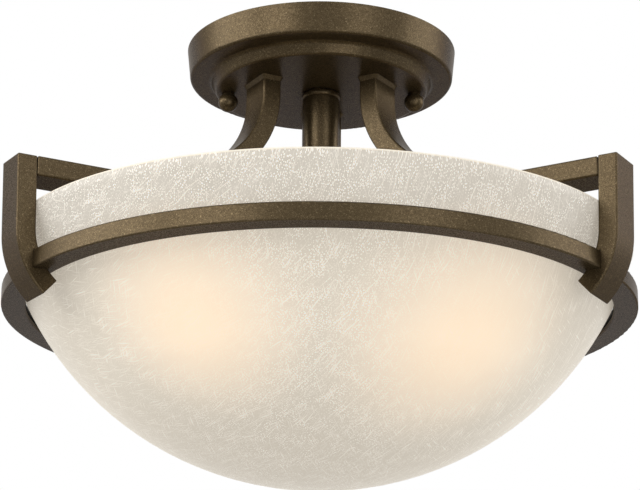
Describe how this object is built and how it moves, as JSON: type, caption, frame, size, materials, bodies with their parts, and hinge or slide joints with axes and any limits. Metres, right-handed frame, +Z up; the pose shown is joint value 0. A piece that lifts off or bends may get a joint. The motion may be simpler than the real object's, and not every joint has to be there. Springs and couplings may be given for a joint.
{
  "type": "ceiling light",
  "caption": "Semi-flush ceiling light: a linen glass bowl in a bronze ring, carried by flat-bar arms from a stepped round canopy, with screw-base lamps inside.",
  "frame": {"origin": "where the light's axis meets the ceiling, on the crossbar's top face", "axes": "+Z up into the ceiling, +X to the right along the crossbar, the front faces -Y"},
  "size_m": [0.33, 0.3399, 0.2363],
  "materials": {
    "bronze_paint": "satin bronze paint with a fine metallic speckle",
    "zinc_steel": "zinc plated",
    "black_steel": "black oxide",
    "green_screw": "green dyed plating",
    "brass": "pressed sheet",
    "green_insulation": "wire insulation",
    "black_insulation": "wire insulation",
    "white_insulation": "wire insulation",
    "connector_plastic": "moulded",
    "gasket_rubber": "soft wedge strip",
    "linen_glass": "champagne glass with white linen flecks, fire-polished rim",
    "porcelain": "white glaze",
    "frosted_lamp_glass": "frosted, lit",
    "clear_lamp_glass": "clear",
    "black_glass": "black insulating glass",
    "lamp_base_metal": "rolled thread",
    "filament_wire": "bare wire"
  },
  "bodies": {
    "fixture": {"arm_dowels": "zinc_steel", "arm_screws": "zinc_steel", "arm_set_screws": "black_steel", "arm_washers": "zinc_steel", "black_leads": "black_insulation", "canopy": "bronze_paint", "canopy_studs": "zinc_steel", "crossbar": "zinc_steel", "ground_lead": "green_insulation", "ground_lugs": "brass", "ground_screw": "green_screw", "holder_body_left": "porcelain", "holder_body_right": "porcelain", "holder_contact_left": "brass", "holder_contact_right": "brass", "holder_screws": "zinc_steel", "holder_shell_left": "brass", "holder_shell_right": "brass", "lamp_bracket": "zinc_steel", "nipple_nuts": "zinc_steel", "nipple_washers": "zinc_steel", "outer_arm_back": "bronze_paint", "outer_arm_left": "bronze_paint", "outer_arm_right": "bronze_paint", "ring_band": "bronze_paint", "seat_gasket": "gasket_rubber", "stem_collar": "bronze_paint", "stem_nipple": "zinc_steel", "stem_tube": "bronze_paint", "upper_arm_back": "bronze_paint", "upper_arm_left": "bronze_paint", "upper_arm_right": "bronze_paint", "white_leads": "white_insulation", "wire_connectors": "connector_plastic"},
    "glass": {"glass_bowl": "linen_glass"},
    "nut_left": {"ball_nut_left": "bronze_paint"},
    "nut_right": {"ball_nut_right": "bronze_paint"},
    "lamp_left": {"lamp_glass_left": "frosted_lamp_glass", "lamp_base_left": "lamp_base_metal", "lamp_insulator_left": "black_glass", "lamp_eyelet_left": "brass", "lamp_stem_left": "clear_lamp_glass", "lamp_filament_left": "filament_wire"},
    "lamp_right": {"lamp_glass_right": "frosted_lamp_glass", "lamp_base_right": "lamp_base_metal", "lamp_insulator_right": "black_glass", "lamp_eyelet_right": "brass", "lamp_stem_right": "clear_lamp_glass", "lamp_filament_right": "filament_wire"}
  },
  "joints": [
    {"name": "glass_lift", "type": "slide", "parent": "fixture", "child": "glass", "axis": [0, 0, 1], "range_m": [0, 0.01]},
    {"name": "nut_left_turn", "type": "hinge", "parent": "fixture", "child": "nut_left", "pos_m": [-0.05003, 0, -0.02667], "axis": [0, 0, 1], "continuous": true},
    {"name": "nut_right_turn", "type": "hinge", "parent": "fixture", "child": "nut_right", "pos_m": [0.05003, 0, -0.02667], "axis": [0, 0, 1], "continuous": true},
    {"name": "lamp_left_turn", "type": "hinge", "parent": "fixture", "child": "lamp_left", "pos_m": [0, 0, -0.0655], "axis": [-0.6691, 0, -0.7431], "continuous": true},
    {"name": "lamp_right_turn", "type": "hinge", "parent": "fixture", "child": "lamp_right", "pos_m": [0, 0, -0.0655], "axis": [0.6691, 0, -0.7431], "continuous": true}
  ]
}
